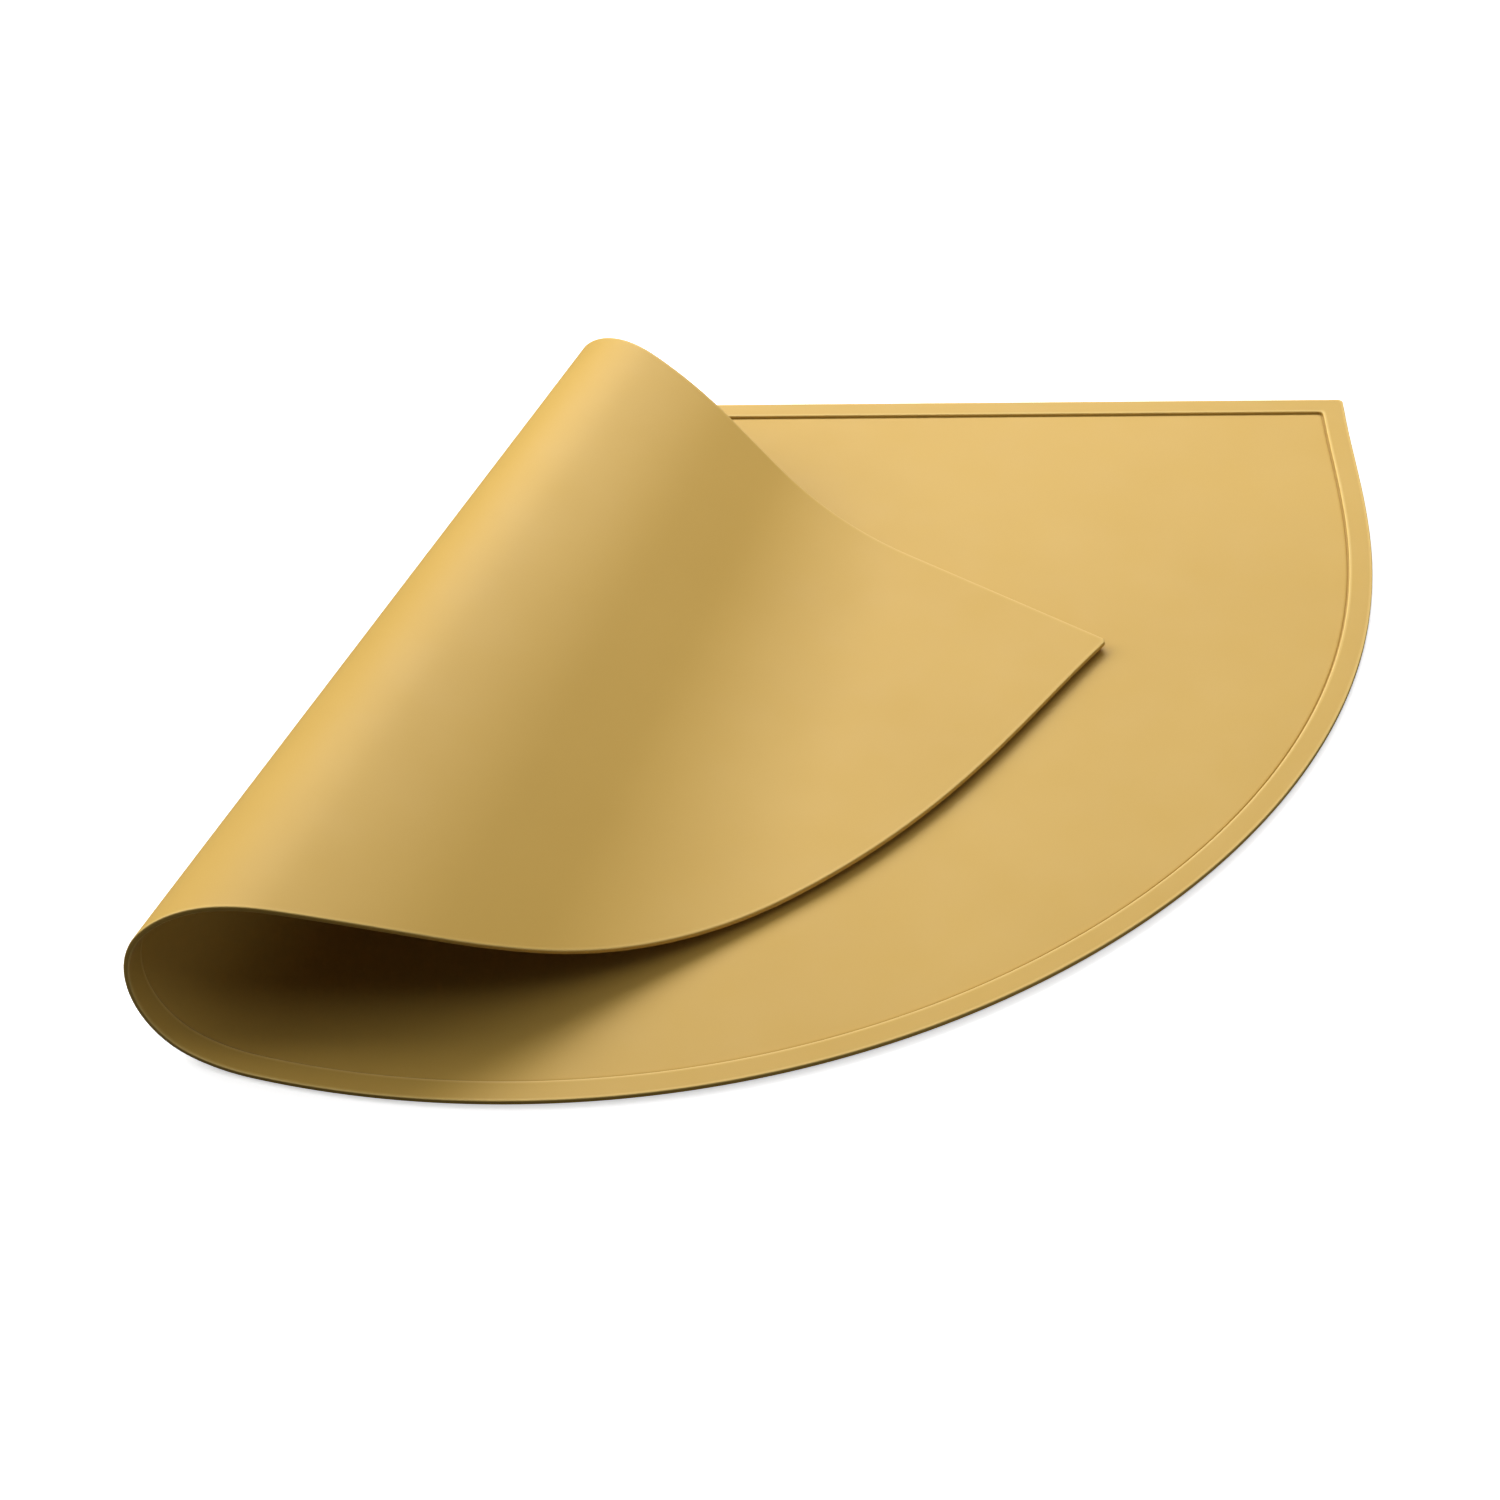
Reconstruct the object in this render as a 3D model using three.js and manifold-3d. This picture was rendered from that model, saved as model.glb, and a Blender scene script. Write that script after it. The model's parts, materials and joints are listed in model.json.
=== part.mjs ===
// Half-moon silicone place mat, lying flat with one side rolled up and turned back over itself.
// Millimetres, +Z up. The underside of the flat half lies on Z = 0 and the straight edge runs along X.
import * as THREE from "three";
import { mergeVertices } from "three/addons/utils/BufferGeometryUtils.js";
import Module from "manifold-3d";

// Sheet
const MAT_WIDTH = 451;
const MAT_DEPTH = 290;
const CORNER_RADIUS = 1.5;
const RIM_THICKNESS = 1.5;
const RIM_WIDTH = 6.5;
const FLOOR_THICKNESS = 0.7;

// Round edge: handles of the curve from the middle of the bottom up to the right corner, as shares of
// the half width and of the depth
const EDGE_HANDLES = [[0, 1], [0.718, 1], [1.113, 0.483], [1, 0.27], [1, 0]];
const CURVE_STEPS = 44;
const CORNER_STEPS = 3;

// Where the resting point lies on the mat
const CENTRE_LINE_X = -100;
const STRAIGHT_EDGE_Y = 130;

// Roll: the sheet turns by the same small angle at every fold line, and the lines fan out from one
// far point, so the roll is slightly tapered
const FOLD_ANGLE = THREE.MathUtils.degToRad(15);
const FOLD_HEIGHT = RIM_THICKNESS / 2;
const FAN_POINT = new THREE.Vector2(183.7, 1084.7);
const FAN_DIRECTION = THREE.MathUtils.degToRad(254.5);
const FAN_REACH = 1105.8;
const FAN_SPAN = 420;
const GAP = 0.3;

// Bends in order from the flat half: radius at the fan's reach, fold lines, and 1 for up or -1 for down
const BENDS = [
  { radius: 49.4, folds: 1, turn: 1 },
  { radius: 18, folds: 5, turn: 1 },
  { radius: 16, folds: 3, turn: 1 },
  { radius: 25.7, folds: 3, turn: 1 },
  { radius: 33.3, folds: 1, turn: 1 },
  { radius: 125, folds: 1, turn: 1, straight: 19 },
  { radius: 93.4, folds: 2, turn: -1 },
];

const SILICONE = { color: 0xd1ac65, roughness: 0.62, metalness: 0 };

const wasm = await Module();
wasm.setup();

// Point of the round edge's right half, and the direction across it into the mat
function roundEdge(t) {
  let points = EDGE_HANDLES.map(([x, y]) => new THREE.Vector2((x * MAT_WIDTH) / 2, -y * MAT_DEPTH));
  while (points.length > 2) points = points.slice(1).map((next, i) => points[i].clone().lerp(next, t));
  const along = points[1].clone().sub(points[0]).normalize();
  return { point: points[0].lerp(points[1], t), inward: new THREE.Vector2(-along.y, along.x) };
}

// Outline of the mat, anticlockwise, moved inwards by inset
function outline(inset) {
  const right = [];
  for (let i = 0; i <= CURVE_STEPS; i++) {
    const { point, inward } = roundEdge(i / CURVE_STEPS);
    if (point.y < -RIM_WIDTH - CORNER_RADIUS) right.push(point.addScaledVector(inward, inset));
  }
  // centre of the corner's arc, clear of both edges by the inset and the arc's own radius
  const depth = inset + CORNER_RADIUS;
  const centre = new THREE.Vector2(MAT_WIDTH / 2 - depth, -depth);
  for (let i = 0; i <= CORNER_STEPS; i++) {
    const angle = (Math.PI / 2) * (i / CORNER_STEPS);
    const spoke = new THREE.Vector2(Math.cos(angle), Math.sin(angle));
    right.push(spoke.multiplyScalar(CORNER_RADIUS).add(centre));
  }
  const left = right.slice(1).reverse().map((p) => new THREE.Vector2(-p.x, p.y));
  return right.concat(left).map((p) => new THREE.Vector2(p.x + CENTRE_LINE_X, p.y + STRAIGHT_EDGE_Y));
}

function solid(points, bottom, height) {
  const geometry = new THREE.ExtrudeGeometry(new THREE.Shape(points), { depth: height, bevelEnabled: false });
  geometry.translate(0, 0, bottom);
  geometry.deleteAttribute("normal");
  geometry.deleteAttribute("uv");
  const merged = mergeVertices(geometry, 1e-4);
  return new wasm.Manifold(new wasm.Mesh({
    numProp: 3,
    vertProperties: merged.attributes.position.array,
    triVerts: new Uint32Array(merged.index.array),
  }));
}

function geometryOf(manifold) {
  const mesh = manifold.getMesh();
  const geometry = new THREE.BufferGeometry();
  geometry.setAttribute("position", new THREE.BufferAttribute(mesh.vertProperties, 3));
  geometry.setIndex(new THREE.BufferAttribute(mesh.triVerts, 1));
  const flat = geometry.toNonIndexed();
  flat.computeVertexNormals();
  return flat;
}

// Unit vector from the fan point along the line that crosses the sheet at a distance from the first one
function ray(distance) {
  const angle = FAN_DIRECTION - distance / FAN_REACH;
  return new THREE.Vector2(Math.cos(angle), Math.sin(angle));
}

// Piece of the sheet between two fan lines, less half a gap on each cut side
function wedge(from, to) {
  const near = FAN_REACH - FAN_SPAN;
  const far = FAN_REACH + FAN_SPAN;
  const corner = (distance, reach, side) => {
    const direction = ray(distance);
    const across = new THREE.Vector2(direction.y, -direction.x);
    return FAN_POINT.clone().addScaledVector(direction, reach).addScaledVector(across, (side * GAP) / 2);
  };
  return [corner(from, near, 1), corner(to, near, -1), corner(to, far, -1), corner(from, far, 1)];
}

const floorOutline = outline(RIM_WIDTH);
const sheet = solid(outline(0), 0, RIM_THICKNESS)
  .subtract(solid(floorOutline, FLOOR_THICKNESS, RIM_THICKNESS));

// Distances of the fold lines and their turns
const folds = [];
let travelled = 0;
for (const bend of BENDS) {
  const step = 2 * bend.radius * Math.tan(FOLD_ANGLE / 2);
  for (let i = 0; i < bend.folds; i++) {
    folds.push({ distance: travelled + step / 2, turn: bend.turn });
    travelled += step;
  }
  travelled += bend.straight ?? 0;
}

function pieceMesh(name, from, to) {
  const piece = sheet.intersect(solid(wedge(from, to), -RIM_THICKNESS, 3 * RIM_THICKNESS));
  const mesh = new THREE.Mesh(geometryOf(piece), new THREE.MeshStandardMaterial(SILICONE));
  mesh.name = name;
  return mesh;
}

const mat = new THREE.Group();
mat.name = "silicone_place_mat";
mat.add(pieceMesh("base_panel", -FAN_SPAN, folds[0].distance));

// Each piece hangs on the one before it and turns about the fold line between them
let carrier = mat;
folds.forEach((fold, i) => {
  const last = i === folds.length - 1;
  const end = last ? fold.distance + FAN_SPAN : folds[i + 1].distance;
  const name = last ? "flap_panel" : "bend_strip_" + String(i + 1).padStart(2, "0");
  const direction = ray(fold.distance);
  const point = FAN_POINT.clone().addScaledVector(direction, FAN_REACH);
  const hinge = new THREE.Group();
  hinge.name = "fold_" + String(i + 1).padStart(2, "0");
  hinge.position.set(point.x, point.y, FOLD_HEIGHT);
  hinge.quaternion.setFromAxisAngle(
    new THREE.Vector3(-direction.x, -direction.y, 0),
    fold.turn * FOLD_ANGLE,
  );
  const inner = new THREE.Group();
  inner.position.copy(hinge.position).negate();
  inner.add(pieceMesh(name, fold.distance, end));
  hinge.add(inner);
  carrier.add(hinge);
  carrier = inner;
});

export default mat;
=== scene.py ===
import json
import math

import bmesh
import bpy
import numpy as np
from mathutils import Matrix, Vector

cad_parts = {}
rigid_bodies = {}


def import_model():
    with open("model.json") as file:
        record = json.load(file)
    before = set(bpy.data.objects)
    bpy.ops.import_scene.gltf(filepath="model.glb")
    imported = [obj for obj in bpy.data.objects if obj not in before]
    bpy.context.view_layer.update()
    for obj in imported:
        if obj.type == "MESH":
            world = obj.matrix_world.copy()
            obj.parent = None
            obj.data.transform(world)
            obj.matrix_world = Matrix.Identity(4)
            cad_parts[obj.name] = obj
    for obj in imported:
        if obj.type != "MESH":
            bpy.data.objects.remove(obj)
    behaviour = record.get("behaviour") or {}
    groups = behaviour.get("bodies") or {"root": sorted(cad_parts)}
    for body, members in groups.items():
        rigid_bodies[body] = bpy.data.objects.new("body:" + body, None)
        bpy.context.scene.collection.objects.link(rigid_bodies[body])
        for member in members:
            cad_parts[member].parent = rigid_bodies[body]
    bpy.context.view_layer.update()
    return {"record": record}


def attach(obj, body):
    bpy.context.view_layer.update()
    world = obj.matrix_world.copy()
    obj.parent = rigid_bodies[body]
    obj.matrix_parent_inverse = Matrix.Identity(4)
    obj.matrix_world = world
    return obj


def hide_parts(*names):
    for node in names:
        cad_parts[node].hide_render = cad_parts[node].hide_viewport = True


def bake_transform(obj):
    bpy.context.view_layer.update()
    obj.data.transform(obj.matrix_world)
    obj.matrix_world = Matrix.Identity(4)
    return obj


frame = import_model()

# Half-moon silicone place mat with one side rolled up and turned back over itself. Its lengths are in
# millimetres, and MM turns them into metres. The stage, lights and bump depths are in metres.
MM = 0.001

# Sheet
MAT_WIDTH = 451.0
MAT_DEPTH = 290.0
CORNER_RADIUS = 1.5
THICKNESS = 1.5
# Handles of the round edge's curve from the middle of the bottom up to the right corner, as shares of
# the half width and of the depth
EDGE_HANDLES = [(0.0, 1.0), (0.718, 1.0), (1.113, 0.483), (1.0, 0.27), (1.0, 0.0)]
CENTRE_LINE_X = -100.0
STRAIGHT_EDGE_Y = 130.0

# Roll: the fold lines fan out from one far point, so the roll is slightly tapered. A distance along the
# sheet is measured at the fan's reach, from the roll's first line towards the free end.
FOLD = math.radians(15)
FAN_POINT = np.array([183.7, 1084.7])
FAN_DIRECTION = math.radians(254.5)
FAN_REACH = 1105.8
# Bend radius, number of fold lines, and 1 for up or -1 for down, from the flat half to the free end
BENDS = [
    (49.4, 1, 1), (18.0, 5, 1), (16.0, 3, 1), (25.7, 3, 1), (33.3, 1, 1), (125.0, 1, 1), (93.4, 2, -1),
]
STRAIGHT = 19.0  # flat stretch before the last bend
MID = THICKNESS / 2
SMOOTH = 4.0  # length over which one bend radius runs into the next
STEP = 0.25  # spacing of the frames along the sheet
REACH_BACK = 400.0  # how far the frames go each way, past both ends of the sheet
REACH_ON = 420.0


# ---- how the flat sheet is bent -------------------------------------------------------------
def bend_marks():
    """Distance along the sheet and total turn at the ends of each fold's stretch."""
    marks, turns = [0.0], [0.0]
    for radius, folds, turn in BENDS:
        if turn < 0:
            marks.append(marks[-1] + STRAIGHT)
            turns.append(turns[-1])
        for _ in range(folds):
            marks.append(marks[-1] + radius * FOLD)
            turns.append(turns[-1] + turn * FOLD)
    return np.array(marks), np.array(turns)


def moving_mean(values, width):
    """Mean of evenly spaced values over a width along the sheet."""
    kernel = np.ones(int(round(width / STEP)) | 1)
    padded = np.pad(values, len(kernel), mode="edge")
    return np.convolve(padded, kernel / kernel.sum(), mode="same")[len(kernel):-len(kernel)]


MARKS, TURNS = bend_marks()


def bent_frames():
    """Frames (outwards from the fan point, along the sheet, normal) at even steps along the sheet."""
    s = np.arange(-REACH_BACK, REACH_ON, STEP)
    turn = np.interp(s, MARKS, TURNS)
    turn = moving_mean(moving_mean(turn, SMOOTH), SMOOTH)
    ray = np.array([math.cos(FAN_DIRECTION), math.sin(FAN_DIRECTION), 0.0])
    along = np.array([math.sin(FAN_DIRECTION), -math.cos(FAN_DIRECTION), 0.0])
    frames = np.empty((len(s), 3, 3))
    fan = STEP / FAN_REACH
    # the first frame lies in the flat sheet
    first = -REACH_BACK / FAN_REACH
    c, k = math.cos(first), math.sin(first)
    frames[0] = [c * ray + k * along, c * along - k * ray, [0.0, 0.0, 1.0]]
    for i in range(1, len(s)):
        out, on, up = frames[i - 1]
        lift = turn[i] - turn[i - 1]
        on2 = math.cos(lift) * on + math.sin(lift) * up
        up2 = math.cos(lift) * up - math.sin(lift) * on
        out2 = math.cos(fan) * out + math.sin(fan) * on2
        on2 = math.cos(fan) * on2 - math.sin(fan) * out
        frames[i] = [out2 / np.linalg.norm(out2), on2 / np.linalg.norm(on2), up2]
    return s, frames


S_STEPS, FRAMES = bent_frames()


def frame_at(s):
    """Frames at any distances along the sheet."""
    x = (np.asarray(s) - S_STEPS[0]) / STEP
    i = np.clip(x.astype(int), 0, len(S_STEPS) - 2)
    f = np.clip(x - i, 0, 1)[:, None, None]
    return FRAMES[i] * (1 - f) + FRAMES[i + 1] * f


def flat_ray(s):
    """Unit vectors of the flat sheet at distance s: away from the fan point, and along the sheet."""
    a = FAN_DIRECTION - np.asarray(s) / FAN_REACH
    return np.stack([np.cos(a), np.sin(a)], -1), np.stack([np.sin(a), -np.cos(a)], -1)


def distance_along(points):
    """Distance along the sheet of flat points, and how far each lies from the fan point."""
    w = points[:, :2] - FAN_POINT
    ray, along = flat_ray([0.0])
    return np.arctan2(w @ along[0], w @ ray[0]) * FAN_REACH, np.hypot(w[:, 0], w[:, 1])


def bend(points, normals):
    """Points and normals of the flat sheet, taken to where they lie in the rolled one."""
    s, rho = distance_along(points)
    axes = frame_at(s)
    origin = np.array([*FAN_POINT, MID])
    placed = origin + rho[:, None] * axes[:, 0] + (points[:, 2] - MID)[:, None] * axes[:, 2]
    ray, along = flat_ray(s)
    n = (
        np.sum(normals[:, :2] * ray, 1)[:, None] * axes[:, 0]
        + np.sum(normals[:, :2] * along, 1)[:, None] * axes[:, 1]
        + normals[:, 2:3] * axes[:, 2]
    )
    return placed, n / np.linalg.norm(n, axis=1)[:, None]


# ---- the flat sheet -------------------------------------------------------------------------
CURVE_STEPS = 150
CORNER_STEPS = 12
CUT_TOLERANCE = 1e-5

# Section of the edge, from the underside round the rim and down to the recessed floor: distance in from
# the edge, height, and the light painted there (1 for a painted highlight on the rounded edges, -1 for
# painted shade in the groove)
PROFILE = [
    (6.0, 0.0, 0.0), (1.2, 0.0, 0.0), (0.45, 0.0, 0.3), (0.2, 0.05, 1.0), (0.05, 0.2, 0.5),
    (0.0, 0.4, 0.0), (0.0, 1.15, 0.0), (0.04, 1.3, 0.8), (0.13, 1.42, 1.0), (0.27, 1.48, 1.0),
    (0.45, 1.5, 0.4), (1.0, 1.5, 0.0), (3.0, 1.5, 0.0), (5.5, 1.5, 0.0), (6.1, 1.49, 0.6),
    (6.3, 1.44, 1.0), (6.41, 1.32, 1.0), (6.47, 1.15, 0.2), (6.5, 0.88, -0.6), (6.54, 0.65, -1.0),
    (6.62, 0.52, -1.0), (6.78, 0.46, -1.0), (6.94, 0.52, -1.0), (7.04, 0.62, -0.7), (7.25, 0.69, -0.2),
    (7.8, 0.7, 0.0), (8.6, 0.7, 0.0),
]
# Rings whose surroundings are level, so that their normals point straight up or down
FLAT_RINGS = {0, 1, 2, 10, 11, 12, 13, 25, 26}


def round_edge():
    """Points and outward directions of the right half of the round edge, from the bottom up."""
    t = np.linspace(0, 1, CURVE_STEPS + 1)[:, None]
    points = [np.array([x * MAT_WIDTH / 2, -y * MAT_DEPTH]) for x, y in EDGE_HANDLES]
    while len(points) > 2:
        points = [(1 - t) * a + t * b for a, b in zip(points, points[1:])]
    along = points[1] - points[0]
    along = along / np.linalg.norm(along, axis=1)[:, None]
    edge = (1 - t) * points[0] + t * points[1]
    return edge, np.stack([along[:, 1], -along[:, 0]], 1)


def ring(inset):
    """Points of the outline moved inwards, and their outward directions, anticlockwise."""
    edge, outward = round_edge()
    kept = edge[:, 1] < -(PROFILE[-1][0] + CORNER_RADIUS)
    angles = math.pi / 2 * np.linspace(0, 1, CORNER_STEPS + 1)
    spokes = np.stack([np.cos(angles), np.sin(angles)], 1)
    depth = inset + CORNER_RADIUS
    corner = [MAT_WIDTH / 2 - depth, -depth] + CORNER_RADIUS * spokes
    points = np.vstack([edge[kept] - inset * outward[kept], corner])
    outward = np.vstack([outward[kept], spokes])
    mirror = np.array([-1.0, 1.0])
    points = np.vstack([points, points[1:][::-1] * mirror])
    outward = np.vstack([outward, outward[1:][::-1] * mirror])
    return points + [CENTRE_LINE_X, STRAIGHT_EDGE_Y], outward


def flat_sheet():
    """bmesh of the whole flat sheet, with each vertex's exact normal and its painted highlight and shade
    in layers.
    """
    bm = bmesh.new()
    layer = bm.verts.layers.float_vector.new("flat_normal")
    # painted light per vertex: above 0 a painted highlight on the rounded edges, below 0 painted shade in
    # the groove
    painted_light_tone = bm.verts.layers.float.new("painted_light_tone")
    rings = []
    for k, (inset, z, tone) in enumerate(PROFILE):
        if k in FLAT_RINGS:
            side, up = 0.0, (-1.0 if z == 0 else 1.0)
        else:
            before, after = PROFILE[k - 1], PROFILE[k + 1]
            run, rise = after[0] - before[0], after[1] - before[1]
            size = math.hypot(run, rise)
            side, up = rise / size, run / size
        row = []
        for p, o in zip(*ring(inset)):
            v = bm.verts.new((p[0], p[1], z))
            v[layer] = (side * o[0], side * o[1], up)
            # painted highlight or painted shade for this ring, from the profile's third column
            v[painted_light_tone] = tone
            row.append(v)
        rings.append(row)
    count = len(rings[0])
    for lower, upper in zip(rings, rings[1:]):
        for i in range(count):
            j = (i + 1) % count
            bm.faces.new((lower[i], lower[j], upper[j], upper[i]))
    bm.faces.new(rings[0][::-1])
    bm.faces.new(rings[-1])
    bm.normal_update()
    return bm


def cut(bm, s, drop_before=False, drop_after=False):
    """Cuts the flat sheet along the fan line at distance s."""
    _, along = flat_ray([s])
    bmesh.ops.bisect_plane(
        bm,
        geom=bm.verts[:] + bm.edges[:] + bm.faces[:],
        dist=CUT_TOLERANCE,
        plane_co=(*FAN_POINT, 0.0),
        plane_no=(*along[0], 0.0),
        clear_inner=drop_before,
        clear_outer=drop_after,
    )


def close(bm):
    """Closes the open cut ends with flat faces that share no vertex normals with the skin."""
    open_edges = [e for e in bm.edges if e.is_boundary]
    if open_edges:
        made = bmesh.ops.holes_fill(bm, edges=open_edges, sides=0)
        for face in made["faces"]:
            face.smooth = False
            for e in face.edges:
                e.smooth = False


WHOLE = flat_sheet()


def piece(name, start, end, columns, material):
    """The stretch of the sheet from start to end, bent into place."""
    bm = WHOLE.copy()
    layer = bm.verts.layers.float_vector["flat_normal"]
    for face in bm.faces:
        face.smooth = True
    if start is not None:
        cut(bm, start, drop_before=True)
    if end is not None:
        cut(bm, end, drop_after=True)
    for s in columns:
        cut(bm, s)
    close(bm)
    bmesh.ops.recalc_face_normals(bm, faces=bm.faces[:])
    mesh = bpy.data.meshes.new(name)
    points = np.array([v.co for v in bm.verts], float)
    normals = np.array([v[layer] for v in bm.verts], float)
    bm.to_mesh(mesh)
    bm.free()
    placed, bent = bend(points, normals)
    # flat position, kept so that the material's grain follows the sheet and not the room
    flat = mesh.attributes.new("flat_place", "FLOAT_VECTOR", "POINT")
    flat.data.foreach_set("vector", (points * MM).astype(np.float32).ravel())
    mesh.vertices.foreach_set("co", (placed * MM).astype(np.float32).ravel())
    mesh.update()
    corner = np.zeros((len(mesh.loops), 3))
    for polygon in mesh.polygons:
        for i in polygon.loop_indices:
            corner[i] = bent[mesh.loops[i].vertex_index] if polygon.use_smooth else polygon.normal
    mesh.normals_split_custom_set([tuple(n) for n in corner])
    mesh.materials.append(material)
    obj = bpy.data.objects.new(name, mesh)
    bpy.context.scene.collection.objects.link(obj)
    return obj


# ---- material -------------------------------------------------------------------------------
SILICONE_TONES = ((0.55, 0.338, 0.058, 1), (0.582, 0.363, 0.068, 1))
# pale colour painted on the rounded edges as a painted highlight, and how much of it is mixed in
PAINTED_HIGHLIGHT_TONE = (0.82, 0.59, 0.19, 1)
PAINTED_HIGHLIGHT_SHARE = 0.8
# dark colour painted into the groove at the foot of the rim as painted shade, and how much of it is mixed
# in
PAINTED_SHADE_TONE = (0.2, 0.1, 0.012, 1)
PAINTED_SHADE_SHARE = 0.4
ROUGHNESS = (0.52, 0.64)
GRAIN_DEPTH = 0.00005
SWELL_DEPTH = 0.0004


def silicone():
    """Matt silicone: a slightly uneven tone, a painted highlight on the rounded edges, painted shade in
    the groove and a fine grain.
    """
    material = bpy.data.materials.new("silicone")
    material.use_nodes = True
    tree = material.node_tree
    nodes, links = tree.nodes, tree.links
    nodes.clear()
    output = nodes.new("ShaderNodeOutputMaterial")
    shader = nodes.new("ShaderNodeBsdfPrincipled")
    place = nodes.new("ShaderNodeAttribute")
    place.attribute_name = "flat_place"
    links.new(shader.outputs["BSDF"], output.inputs["Surface"])

    def noise(scale, detail, roughness):
        n = nodes.new("ShaderNodeTexNoise")
        n.inputs["Scale"].default_value = scale
        n.inputs["Detail"].default_value = detail
        n.inputs["Roughness"].default_value = roughness
        links.new(place.outputs["Vector"], n.inputs["Vector"])
        return n.outputs["Fac"]

    def ramp(value, stops):
        r = nodes.new("ShaderNodeValToRGB")
        for element, (position, colour) in zip(r.color_ramp.elements, stops):
            element.position = position
            element.color = colour
        links.new(value, r.inputs["Fac"])
        return r.outputs["Color"]

    def mixed(share, first, second):
        m = nodes.new("ShaderNodeMix")
        m.data_type = "RGBA"
        links.new(share, m.inputs[0])
        links.new(first, m.inputs[6])
        m.inputs[7].default_value = second
        return m.outputs[2]

    def spread(value, start, end, low, high):
        m = nodes.new("ShaderNodeMapRange")
        for socket, number in zip(("From Min", "From Max", "To Min", "To Max"), (start, end, low, high)):
            m.inputs[socket].default_value = number
        links.new(value, m.inputs["Value"])
        return m.outputs["Result"]

    def bump(height, strength, depth):
        b = nodes.new("ShaderNodeBump")
        b.inputs["Strength"].default_value = strength
        b.inputs["Distance"].default_value = depth
        links.new(height, b.inputs["Height"])
        return b

    tone = ramp(noise(9.0, 3.0, 0.5), zip((0.3, 0.7), SILICONE_TONES))
    # per-vertex painted light: painted highlight on the rounded edges, painted shade in the groove
    edge = nodes.new("ShaderNodeAttribute")
    edge.attribute_name = "painted_light_tone"
    # painted highlight: the pale colour mixed in on the rounded edges
    with_painted_highlight = mixed(spread(edge.outputs["Fac"], 0.0, 1.0, 0.0, PAINTED_HIGHLIGHT_SHARE), tone, PAINTED_HIGHLIGHT_TONE)
    # painted shade: the dark colour mixed into the groove
    with_painted_shade = mixed(spread(edge.outputs["Fac"], 0.0, -1.0, 0.0, PAINTED_SHADE_SHARE), with_painted_highlight, PAINTED_SHADE_TONE)
    links.new(with_painted_shade, shader.inputs["Base Color"])
    links.new(spread(noise(60.0, 4.0, 0.6), 0.0, 1.0, *ROUGHNESS), shader.inputs["Roughness"])
    shader.inputs["Specular IOR Level"].default_value = 0.35
    shader.inputs["Sheen Weight"].default_value = 0.08
    shader.inputs["Sheen Roughness"].default_value = 0.5

    grain = bump(noise(2600.0, 2.0, 0.5), 0.25, GRAIN_DEPTH)
    swell = bump(noise(14.0, 1.0, 0.4), 0.5, SWELL_DEPTH)
    links.new(grain.outputs["Normal"], swell.inputs["Normal"])
    links.new(swell.outputs["Normal"], shader.inputs["Normal"])
    return material


SILICONE = silicone()

# ---- the mat --------------------------------------------------------------------------------
# The bodies in order from the flat half to the free end
joints = frame["record"]["behaviour"]["joints"]
chain = ["base_panel"]
while onward := [j["child"] for j in joints if j["parent"] == chain[-1]]:
    chain.append(onward[0])

COLUMNS = 8  # cuts across each bend
END_COLUMN = 3.0  # spacing of the two cuts beside the roll in each flat end
STRAIGHT_COLUMN = 2.0  # spacing of the cuts across the straight stretch
NEAR_END = 0.05  # a cut nearer than this to a piece's own end is left out


def flat_end(name, body, start, end, columns):
    """One of the two ends that stay flat, in place of its CAD panel."""
    panel = piece(name, start, end, columns, SILICONE)
    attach(panel, body)
    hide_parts(body)


roll_end = MARKS[-1]
flat_end("mat_base", chain[0], None, 0.0, [-2 * END_COLUMN, -END_COLUMN])
flat_end("mat_flap", chain[-1], roll_end, None, [roll_end + END_COLUMN, roll_end + 2 * END_COLUMN])

# Each bend stretches over one fold line; the straight stretch belongs to the bend after it
bends = [
    (start, end)
    for start, end, a, b in zip(MARKS, MARKS[1:], TURNS, TURNS[1:])
    if a != b
]
previous_end = 0.0
for i, (start, end) in enumerate(bends):
    across_bend = np.linspace(start, end, COLUMNS + 1)[:-1]
    straight_end = start - STRAIGHT_COLUMN / 2
    across_straight = np.arange(previous_end + STRAIGHT_COLUMN, straight_end, STRAIGHT_COLUMN)
    columns = [c for c in (*across_bend, *across_straight) if c > previous_end + NEAR_END]
    strip = piece(f"mat_bend_{i + 1:02d}", previous_end, end, columns, SILICONE)
    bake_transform(strip)
    # it covers half of each CAD strip beside its fold line, and stands for the one after it
    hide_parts(*([chain[i + 1]] if i + 1 < len(chain) - 1 else []))
    previous_end = end

# ---- floor, light and camera ----------------------------------------------------------------
# A pale floor with walls far off, slightly self-lit so that it reads as white. It is kept out of the
# mat's own bounce light and reflections. It lies a little under the mat, because the unrolled mat has
# low waves that would otherwise dip into it.
STUDIO_HALF = 6.0
STUDIO_HEIGHT = 6.0
FLOOR_DROP = 0.0008
FLOOR_GLOW = 0.6


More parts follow.
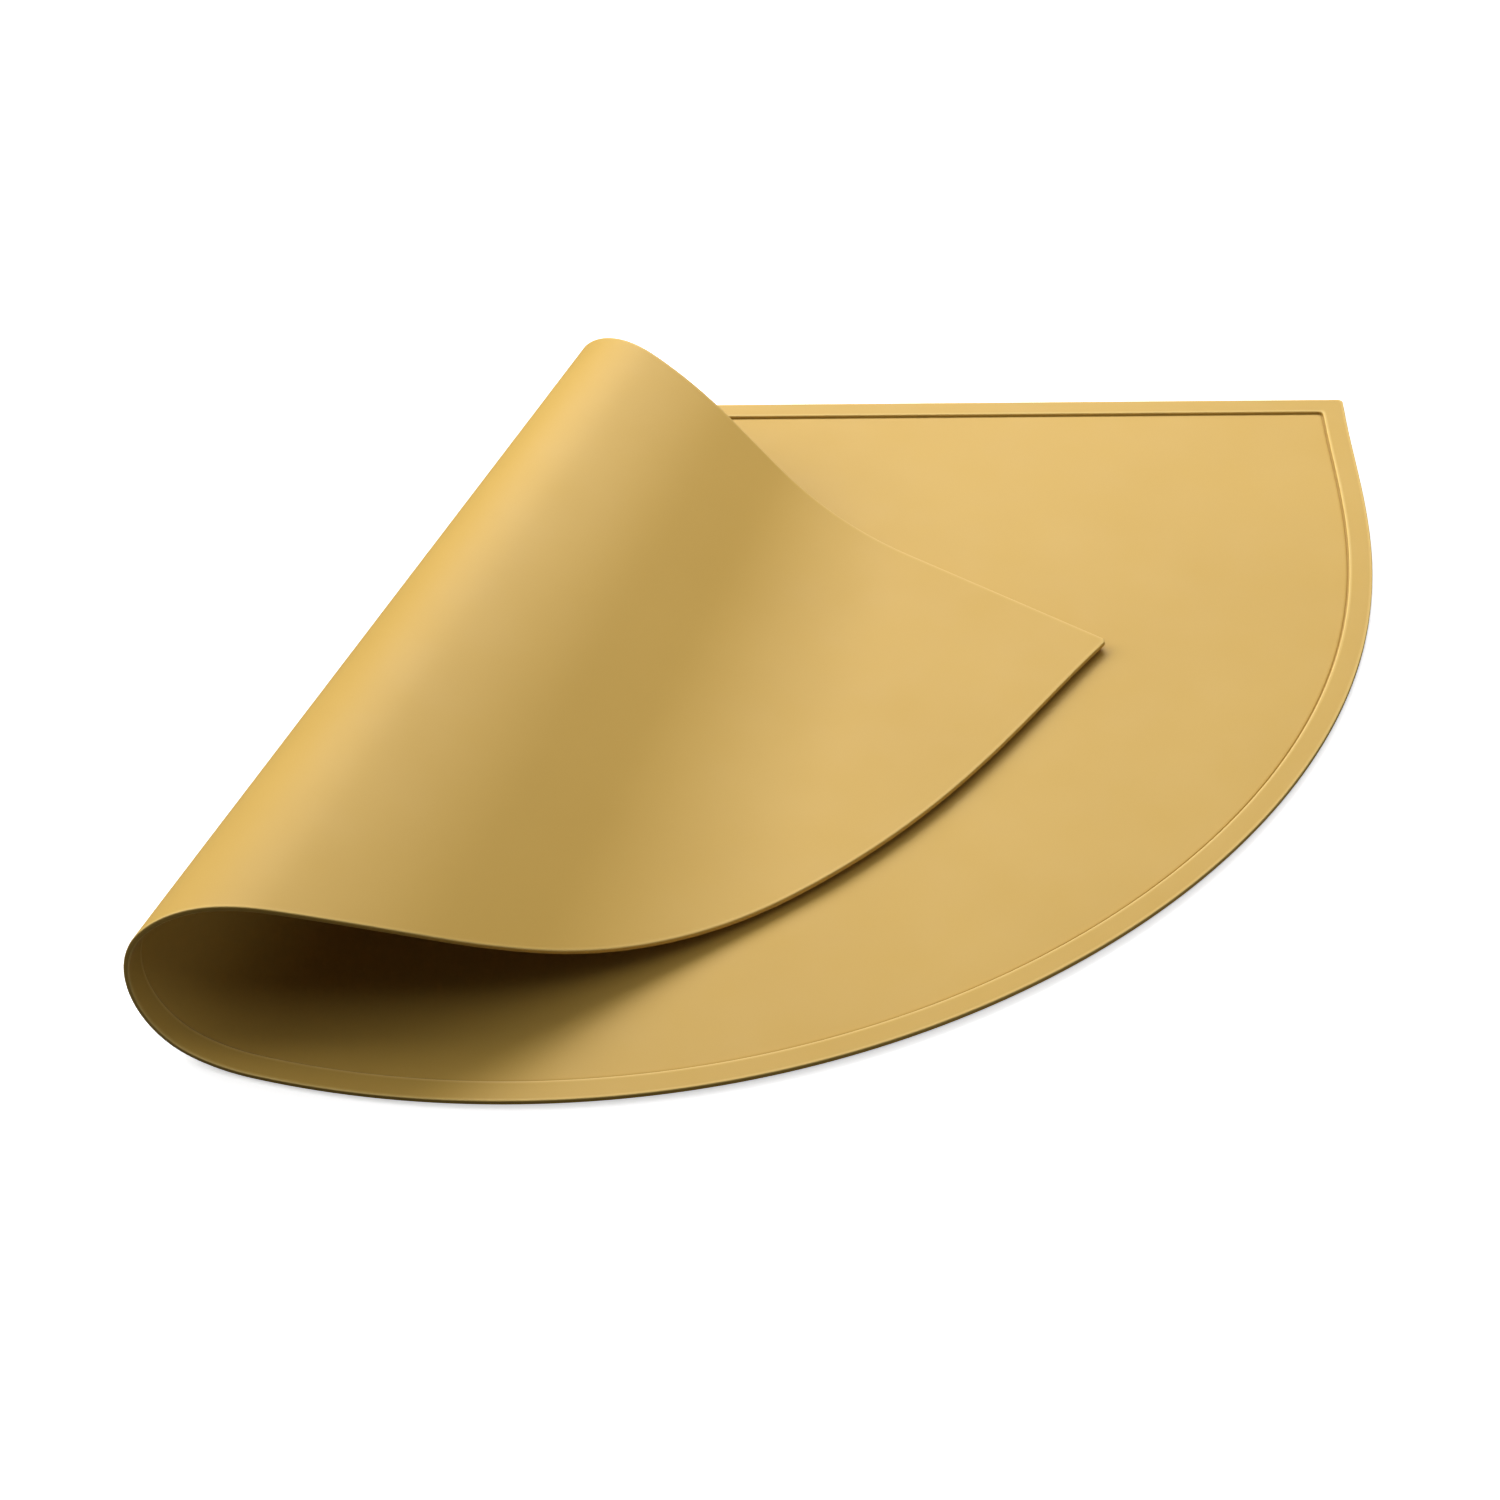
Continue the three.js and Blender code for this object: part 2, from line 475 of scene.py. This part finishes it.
def studio():
    """Floor and four walls in one mesh, open at the top."""
    corners = [(-1, -1), (1, -1), (1, 1), (-1, 1)]
    mesh = bpy.data.meshes.new("floor")
    mesh.from_pydata(
        [(x * STUDIO_HALF, y * STUDIO_HALF, z) for z in (0, STUDIO_HEIGHT) for x, y in corners],
        [],
        [(0, 1, 2, 3)] + [((i + 1) % 4, i, i + 4, (i + 1) % 4 + 4) for i in range(4)],
    )
    material = bpy.data.materials.new("floor")
    material.use_nodes = True
    shader = material.node_tree.nodes["Principled BSDF"]
    shader.inputs["Base Color"].default_value = (0.93, 0.93, 0.93, 1)
    shader.inputs["Roughness"].default_value = 0.9
    shader.inputs["Emission Color"].default_value = (1, 1, 1, 1)
    shader.inputs["Emission Strength"].default_value = FLOOR_GLOW
    mesh.materials.append(material)
    floor = bpy.data.objects.new("floor", mesh)
    floor.location.z = -FLOOR_DROP
    floor.visible_diffuse = False
    floor.visible_glossy = False
    bpy.context.scene.collection.objects.link(floor)


studio()


def area_light(name, location, target, size, power):
    """Rectangular lamp that faces the target, with its size in metres and its power in watts."""
    data = bpy.data.lights.new(name, "AREA")
    data.shape = "RECTANGLE"
    data.size, data.size_y = size
    data.energy = power
    light = bpy.data.objects.new(name, data)
    light.location = location
    light.rotation_mode = "QUATERNION"
    light.rotation_quaternion = (Vector(target) - Vector(location)).to_track_quat("-Z", "Y")
    bpy.context.scene.collection.objects.link(light)


area_light("back", (-0.15, 0.95, 0.85), (0, 0.05, 0), (1.1, 0.7), 17)
area_light("left", (-1.0, 0.25, 0.7), (0, 0, 0), (0.8, 0.8), 9)
area_light("right", (1.0, 0.0, 0.6), (0, 0, 0), (0.8, 0.6), 1.0)
area_light("top", (0.0, 0.05, 1.9), (0, 0, 0), (2.0, 2.0), 11)
area_light("front", (0.75, -0.75, 0.12), (-0.1, -0.1, 0.01), (0.4, 0.15), 1.0)

WORLD_STRENGTH = 0.03
world = bpy.data.worlds.new("studio")
world.use_nodes = True
background = world.node_tree.nodes["Background"]
background.inputs["Color"].default_value = (1, 1, 1, 1)
background.inputs["Strength"].default_value = WORLD_STRENGTH
bpy.context.scene.world = world

CAMERA_PLACE = Vector((20.889, -618.457, 512.201)) * MM
CAMERA_YAW = math.radians(-6.466)
CAMERA_PITCH = math.radians(40.935)
CAMERA_ROLL = math.radians(-4.156)
CAMERA_LENS = 69.77
CAMERA_SENSOR = 36.0
CAMERA_NEAR = 0.01

forward = Vector((
    math.sin(CAMERA_YAW) * math.cos(CAMERA_PITCH),
    math.cos(CAMERA_YAW) * math.cos(CAMERA_PITCH),
    -math.sin(CAMERA_PITCH),
))
level = Vector((math.cos(CAMERA_YAW), -math.sin(CAMERA_YAW), 0))
upright = level.cross(forward)
right = math.cos(CAMERA_ROLL) * level + math.sin(CAMERA_ROLL) * upright
top = -math.sin(CAMERA_ROLL) * level + math.cos(CAMERA_ROLL) * upright
camera_data = bpy.data.cameras.new("camera")
camera_data.lens = CAMERA_LENS
camera_data.sensor_width = CAMERA_SENSOR
camera_data.clip_start = CAMERA_NEAR
camera = bpy.data.objects.new("camera", camera_data)
camera.matrix_world = Matrix((
    (right.x, top.x, -forward.x, CAMERA_PLACE.x),
    (right.y, top.y, -forward.y, CAMERA_PLACE.y),
    (right.z, top.z, -forward.z, CAMERA_PLACE.z),
    (0, 0, 0, 1),
))
bpy.context.scene.collection.objects.link(camera)
bpy.context.scene.camera = camera
bpy.context.scene.view_settings.view_transform = "Standard"
